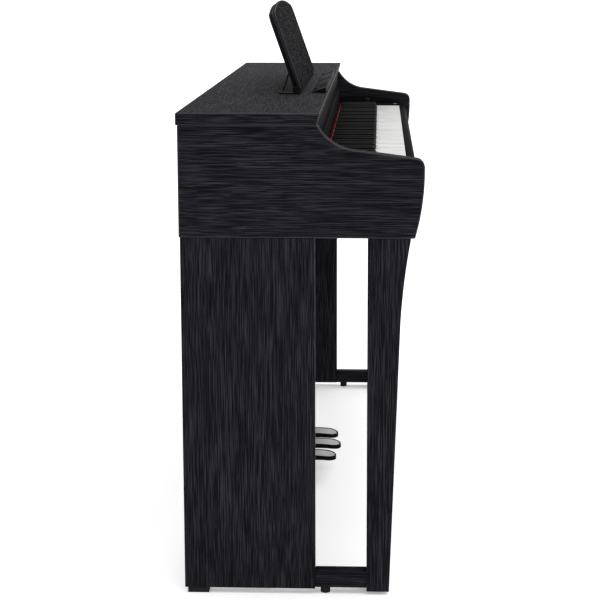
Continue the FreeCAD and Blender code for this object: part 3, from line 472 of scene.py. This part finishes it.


# %% [markdown]
# ## Case and stand
# Sheet edges are wrapped, so they are rounded by a millimetre or so. The side arms are softer than
# the rest, and on them and on the lid the rounding has a paler finish, a painted highlight along the
# edge. A board's sawn ends would cut its grain into dots, so they take a sheet that runs the other way.

# %% Boards, with the way each one's grain runs
BOARDS = (
    ("top_board", 1.6, laminate_across), ("left_arm", 2.2, laminate_deep),
    ("right_arm", 2.2, laminate_deep), ("cabinet_back", 0.8, laminate_across),
    ("left_side_board", 0.9, laminate_upright), ("right_side_board", 0.9, laminate_upright),
    ("left_front_leg", 1.6, laminate_upright), ("right_front_leg", 1.6, laminate_upright),
    ("left_toe_bar", 1.4, laminate_deep), ("right_toe_bar", 1.4, laminate_deep),
    ("stand_back_board", 0.8, laminate_across), ("pedal_board", 1.0, laminate_across),
)
# The lid and the arms take a painted highlight on their rounded edges.
HIGHLIGHT_PAINTED = ("top_board", "left_arm", "right_arm")
boards = {node: dress(node, width, material, "laminate_black", edge=painted_highlight_edge if node in HIGHLIGHT_PAINTED else None)
          for node, width, material in BOARDS}
turn_grain(boards["top_board"], 0, laminate_deep)
turn_grain(boards["left_arm"], 1, laminate_upright)
turn_grain(boards["right_arm"], 1, laminate_upright)
print(len(BOARDS), "boards rounded")

# %% [markdown]
# ## Moulded parts round the keyboard
# The key slip, the blocks at each end of the keys, the rail behind them and the sliding cover are
# smooth and satin, with small even radii. They could be modelled afresh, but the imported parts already
# have every slope and arch, so a table of bevel widths is enough.

# %% Keyboard surround
SURROUND = (
    ("key_slip", 1.8, satin_black), ("left_key_block", 1.4, satin_black),
    ("right_key_block", 1.4, satin_black), ("name_rail", 0.6, satin_black),
    ("valance", 0.8, satin_black), ("key_cover", 0.5, satin_black),
    ("key_cover_lip", 1.2, satin_black), ("music_ledge", 0.5, case_plastic),
    ("left_page_holder", 0.4, case_plastic), ("right_page_holder", 0.4, case_plastic),
    ("music_rest_base", 0.5, case_plastic), ("headphone_box", 1.5, case_plastic),
    ("inlet_panel", 0.5, case_plastic),
)
for node, width, material in SURROUND:
    dress(node, width, material, "plastic_black", segments=3)
dress("felt_strip", 0.5, felt, "felt_red")
# The music rest's rounded edges take the paler finish, a painted highlight.
dress("music_rest_panel", 1.2, laminate_rest, "laminate_black", edge=painted_highlight_edge)
dress("music_rest_back", 1.2, rest_plastic, "plastic_black", edge=painted_highlight_edge)
dress("music_rest_prop", 0.6, case_plastic, "plastic_black")
print(len(SURROUND) + 4, "moulded parts rounded")

# %% [markdown]
# ## White keys
# A keycap's long edges are just broken, so each key stays distinct from its neighbour. All the keys
# of one note name move together and are one piece, and one bevel rounds every key in it.

# %% White keys
NATURALS = "cdefgab"
for note in NATURALS:
    dress("keys_" + note, 0.7, white_key, "key_white", segments=3)
print(len(NATURALS), "groups of white keys")

# %% [markdown]
# ## Sharps
# A sharp is narrower on top than at its foot, and its top edges are well rounded for the fingers.
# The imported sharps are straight-sided, so the top points of each one are drawn together about the
# key's own middle, and then the edges are rounded. Drawing in all of them at once would shift the
# outer keys, so each is selected on its own.

# %% Sharps
TOP_SHARE = 0.80
SHARP_ROUNDING = 1.3
KEY_APART = 0.02
NEAR = 0.0001
KEY_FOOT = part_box("keys_c")[1].z


def draw_in_tops(piece, level):
    """Narrow each key above a level, one key at a time, about its own middle."""
    edit(piece)
    tops = sorted({round(v.co.x, 4) for v in piece.data.vertices if v.co.z > level})
    pairs = []
    for left in tops:
        if not pairs or left - pairs[-1][0] > KEY_APART:
            pairs.append([left, left])
        pairs[-1][1] = left
    for low, high in pairs:
        choose(piece, lambda v: low - NEAR < v.co.x < high + NEAR and v.co.z > level, "VERT")
        bpy.ops.transform.resize(value=(TOP_SHARE, 1, 1),
                                 center_override=((low + high) / 2, 0, 0))
    done(piece)
    return len(pairs)


for note in ("c_sharp", "d_sharp", "f_sharp", "g_sharp", "a_sharp"):
    node = "keys_" + note
    piece = whole_copy(node, "rounded_" + node)
    count = draw_in_tops(piece, KEY_FOOT + 3 * MM)
    finished(piece, node, black_key, "key_black", node)
    # The rounded top edges take the paler finish, a painted highlight along each sharp.
    piece.data.materials.append(sharp_edge)
    rounded(piece, SHARP_ROUNDING, 3, edge_slot=1)
    print(note, count, "sharps")

# %% [markdown]
# ## Pedals
# Each pedal is a dark moulded lever with a plated tread let into its top. The tread is made from
# the lever's own top faces: they are inset to leave a dark rim, sunk a little and rounded. A
# separate plate would need its own outline, and this one follows the lever's by itself.

# %% Pedals
TREAD_END = 29 * MM
TREAD_BAND = 12 * MM
RIM = 2.4 * MM
SUNK = 1.1 * MM
WALL_SLOPE = 0.3 * MM


def pedal(node):
    piece = whole_copy(node, "rounded_" + node)
    edit(piece, "FACE")
    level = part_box(node)[1].z - TREAD_BAND
    choose(piece, lambda f: f.normal.z > 0.9 and f.center.z > level and f.center.y < TREAD_END)
    bpy.ops.mesh.inset(thickness=RIM, depth=0)
    bpy.ops.mesh.inset(thickness=WALL_SLOPE, depth=-SUNK)
    done(piece)
    tread = [f.index for f in piece.data.polygons if f.select]
    finished(piece, node, satin_black, "pedal_metal", node)
    piece.data.materials.append(pedal_metal)
    for index in tread:
        piece.data.polygons[index].material_index = 1
    return rounded(piece, 0.8, 3, 35)


PEDALS = ("soft_pedal", "sostenuto_pedal", "damper_pedal")
for name in PEDALS:
    print(name, len(pedal(name).data.polygons), "faces")

# %% [markdown]
# ## Return springs
# Each pedal rests on a coil spring, for which the imported model has a plain tube. A ring of wire is
# swept up a helix by the Screw modifier, which needs no curve, and its ends are closed.

# %% Coil springs
def made(name, place):
    """Name the object that was just added and move it, leaving its own origin at the world's."""
    piece = bpy.context.object
    piece.name = name
    piece.data.name = name
    piece.location = place
    bpy.ops.object.transform_apply(location=True, rotation=True, scale=True)
    return piece


def coil(name, place, radius, wire, turns, high):
    nothing_selected()
    bpy.ops.mesh.primitive_circle_add(vertices=12, radius=wire, location=(radius, 0, 0),
                                      rotation=(math.pi / 2, 0, 0))
    piece = made(name, (radius, 0, 0))
    screw = piece.modifiers.new("helix", "SCREW")
    screw.axis = "Z"
    screw.screw_offset = (high - 2 * wire) / turns
    screw.iterations = turns
    screw.steps = 28
    screw.render_steps = 28
    bpy.ops.object.modifier_apply(modifier=screw.name)
    edit(piece)
    bpy.ops.mesh.select_non_manifold()
    bpy.ops.mesh.fill_holes(sides=0)
    bpy.ops.mesh.select_all(action="SELECT")
    bpy.ops.mesh.normals_make_consistent(inside=False)
    bpy.ops.transform.translate(value=place)
    done(piece)
    bpy.ops.object.shade_smooth()
    return piece


SPRING_RADIUS = 5.0 * MM
SPRING_WIRE = 0.9 * MM
SPRING_TURNS = 7
spring_low, spring_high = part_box("pedal_springs")
for name in PEDALS:
    low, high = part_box(name)
    foot = Vector(((low.x + high.x) / 2, (spring_low.y + spring_high.y) / 2, spring_low.z))
    spring = coil(name + "_coil", foot + Vector((0, 0, SPRING_WIRE)), SPRING_RADIUS, SPRING_WIRE,
                  SPRING_TURNS, spring_high.z - spring_low.z)
    finished(spring, body_of_node("pedal_springs"), spring_steel, "steel", "pedal_springs")
    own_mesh(spring)
print(len(PEDALS), "springs of", SPRING_TURNS, "turns")

# %% [markdown]
# ## Volume knob
# The volume knob is fluted so that one finger can turn it, and a pale line on its crown shows where
# it stands. Every second upright edge of a many-sided cylinder is drawn in, which makes the flutes
# without cutting, and the stem goes down into the key block.

# %% Fluted knob
FLUTES = 24
FLUTE_SHARE = 0.93
knob_low, knob_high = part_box("volume_knob")
knob_middle = (knob_low + knob_high) / 2
KNOB_TALL = 13 * MM
STEM_RADIUS = 3 * MM
POINTER_SIZE = (0.7 * MM, 4.0 * MM, 0.2 * MM)
POINTER_OUT = 3.6 * MM


def column(name, place, radius, high, sides=32, turn=(0, 0, 0)):
    nothing_selected()
    bpy.ops.mesh.primitive_cylinder_add(vertices=sides, radius=radius, depth=high, rotation=turn)
    return made(name, place)


knob = column("fluted_knob", (0, 0, 0), knob_high.x - knob_middle.x, KNOB_TALL, 2 * FLUTES)
edit(knob)
choose(knob, lambda v: round(math.atan2(v.co.y, v.co.x) * FLUTES / math.pi) % 2, "VERT")
bpy.ops.transform.resize(value=(FLUTE_SHARE, FLUTE_SHARE, 1), center_override=(0, 0, 0))
bpy.ops.mesh.select_all(action="SELECT")
bpy.ops.transform.translate(value=(knob_middle.x, knob_middle.y, knob_high.z - KNOB_TALL / 2))
done(knob)
rounded(knob, 0.4, 2)
stem = column("knob_stem", (knob_middle.x, knob_middle.y, (knob_low.z + knob_high.z - KNOB_TALL) / 2),
              STEM_RADIUS, knob_high.z - KNOB_TALL - knob_low.z)
nothing_selected()
stem.select_set(True)
knob.select_set(True)
bpy.context.view_layer.objects.active = knob
bpy.ops.object.join()
finished(knob, "volume_knob", case_plastic, "plastic_black", "volume_knob")

paint = moulded("pale_paint", tone(0.55, 0.55, 0.55), 0.5)
nothing_selected()
bpy.ops.mesh.primitive_cube_add(size=1, scale=POINTER_SIZE)
pointer = made("knob_pointer", (knob_middle.x, knob_middle.y - POINTER_OUT, knob_high.z))
finished(pointer, "volume_knob", paint, None)
print("knob with", FLUTES, "flutes")

# %% [markdown]
# ## Trim rings
# The power button, the headphone jacks and the power inlet each sit in a small plated ring, which
# hides the gap round the hole. A thin torus, half sunk into the panel, shows the same as a turned
# ring would.

# %% Trim rings
BUTTON_RING = (4.6 * MM, 0.55 * MM)
JACK_RING = (4.3 * MM, 0.8 * MM)
INLET_RING = (3.9 * MM, 0.6 * MM)
BUTTON_PROUD = 1.5 * MM
JACK_DROP = 14 * MM
JACK_HALF_PITCH = 16 * MM
INLET_IN = 20 * MM
INLET_PROUD = 0.6 * MM
LEVEL = (0, 0, 0)
FACING = (math.pi / 2, 0, 0)


def ring(name, place, size, turn, node):
    """A plated ring; size is its radius and the radius of its wire."""
    radius, thick = size
    nothing_selected()
    bpy.ops.mesh.primitive_torus_add(major_radius=radius, minor_radius=thick, major_segments=40,
                                     minor_segments=12, rotation=turn)
    piece = made(name, place)
    bpy.ops.object.shade_smooth()
    return finished(piece, body_of_node(node), plated_steel, "steel")


button_low, button_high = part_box("power_button")
button_middle = (button_low + button_high) / 2
ring("button_ring", (button_middle.x, button_middle.y, button_high.z - BUTTON_PROUD), BUTTON_RING,
     LEVEL, "right_key_block")
jack_low, jack_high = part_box("headphone_box")
jack_middle = (jack_low.x + jack_high.x) / 2
for name, side in (("jack_ring_left", -1), ("jack_ring_right", 1)):
    at = (jack_middle + side * JACK_HALF_PITCH, jack_low.y, jack_high.z - JACK_DROP)
    ring(name, at, JACK_RING, FACING, "headphone_box")
panel_low, panel_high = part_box("inlet_panel")
at = (panel_low.x + INLET_IN, panel_high.y - INLET_PROUD, (panel_low.z + panel_high.z) / 2)
ring("inlet_ring", at, INLET_RING, FACING, "inlet_panel")
print("rings round the button, the jacks and the inlet")

# %% [markdown]
# ## Screws in the back
# Pan-head screws hold the back panel along its top and bottom edges. One head is a short cylinder
# with a cross cut out of it by two thin boxes. A Boolean modifier is the plainest way to cut it,
# and a screw is small enough for that.

# %% Pan-head screws
SCREW_RADIUS = 3.4 * MM
SCREW_HIGH = 1.6 * MM
SCREW_OUT = 0.1 * MM
SCREW_COUNT = 7
EDGE_DISTANCE = 10 * MM
END_DISTANCE = 12 * MM


def screw_head(name, place, radius, high):
    """A head with a cross cut into it, looking towards +Y."""
    head = column(name, (0, 0, 0), radius, high, 24, FACING)
    for turn in (0, math.pi / 2):
        nothing_selected()
        bpy.ops.mesh.primitive_cube_add(size=1, scale=(1.25 * radius, high, 0.22 * radius),
                                        rotation=(0, turn, 0))
        slot = made("cross_slot", (0, high * 0.6, 0))
        only(head)
        carve = head.modifiers.new("cross", "BOOLEAN")
        carve.operation = "DIFFERENCE"
        carve.object = slot
        bpy.ops.object.modifier_apply(modifier=carve.name)
        bpy.data.objects.remove(slot)
    rounded(head, 0.35, 2, 50)
    edit(head)
    bpy.ops.mesh.select_all(action="SELECT")
    bpy.ops.transform.translate(value=place)
    return done(head)


def screw_row(board, heights, count, inset):
    low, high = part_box(board)
    heads = []
    for z in heights:
        for step in range(count):
            x = low.x + inset + (high.x - low.x - 2 * inset) * step / (count - 1)
            heads.append(screw_head("screw_%s_%d" % (board, len(heads)),
                                    (x, high.y + SCREW_OUT, z), SCREW_RADIUS, SCREW_HIGH))
    nothing_selected()
    for head in heads:
        head.select_set(True)
    bpy.context.view_layer.objects.active = heads[0]
    bpy.ops.object.join()
    heads[0].name = board + "_screws"
    return finished(heads[0], body_of_node(board), plated_steel, "steel")


back_low, back_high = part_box("cabinet_back")
screw_row("cabinet_back", (back_low.z + EDGE_DISTANCE, back_high.z - EDGE_DISTANCE),
          SCREW_COUNT, END_DISTANCE)
print(2 * SCREW_COUNT, "screws in the back panel")

# %% [markdown]
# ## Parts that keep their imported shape
# Parts inside the case or under it only need their finish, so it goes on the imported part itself. A
# rounded copy of each would cost time and show nowhere.

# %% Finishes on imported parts
PLAIN = {
    "key_bed": laminate_across, "action_chassis": chassis_plastic, "contact_board": board_lacquer,
    "main_board": board_lacquer, "left_speaker": case_plastic, "right_speaker": case_plastic,
    "pedal_housing": plated_steel, "pedal_pin": plated_steel, "prop_pin": plated_steel,
    "corner_brackets": plated_steel, "assembly_bolts": plated_steel, "glide_feet": rubber,
    "pedal_adjuster": rubber, "volume_knob": case_plastic, "power_button": case_plastic,
}
for node, material in PLAIN.items():
    mesh = frame["nodes"][node].data
    mesh.materials.clear()
    mesh.materials.append(material)
print(len(PLAIN), "parts keep their shape")

# %% [markdown]
# ## Studio
# A plain pale floor that runs to the horizon, a very wide soft sun overhead, an even white
# surround, and a weak panel on the player's side. The floor glows a little, so that the shade under
# the piano stays pale. The black boards stay dark, and their rounded edges catch the light; on the
# lid, the arms and the music rest a paler edge finish adds a painted highlight.

# %% Floor
bpy.ops.mesh.primitive_plane_add(size=400, location=(0, 0, 0))
floor = bpy.context.object
floor.name = "studio_floor"
pale = Finish("pale_floor", roughness=0.9, Specular_IOR_Level=0.1,
              Emission_Color=tone(1, 1, 1), Emission_Strength=0.32)
mottle = pale.noise(pale.place(), 3.0, 3.0)
pale.feed(Base_Color=pale.mix(mottle, tone(0.90, 0.90, 0.90), tone(0.94, 0.94, 0.94)))
floor.data.materials.append(pale.material)


# %% Lights
def linked_light(name, kind, place, aim, energy):
    data = bpy.data.lights.new(name, kind)
    data.energy = energy
    lamp = bpy.data.objects.new(name, data)
    bpy.context.scene.collection.objects.link(lamp)
    lamp.location = place
    lamp.rotation_euler = (Vector(aim) - Vector(place)).to_track_quat("-Z", "Y").to_euler()
    return data


sky_panel = linked_light("sky_panel", "SUN", (0.3, -0.9, 4), (0, 0, 0), 2.3)
sky_panel.angle = math.radians(75)
front_panel = linked_light("front_panel", "AREA", (-0.6, -3.4, 2.0), (0, 0, 0.6), 12)
front_panel.shape = "RECTANGLE"
front_panel.size = 2.6
front_panel.size_y = 1.6

world = bpy.data.worlds.new("studio")
world.use_nodes = True
world.node_tree.nodes["Background"].inputs["Color"].default_value = (1, 1, 1, 1)
world.node_tree.nodes["Background"].inputs["Strength"].default_value = 0.62
bpy.context.scene.world = world

# %% [markdown]
# ## Last
# The script ends with nothing selected.

# %% The end
nothing_selected()
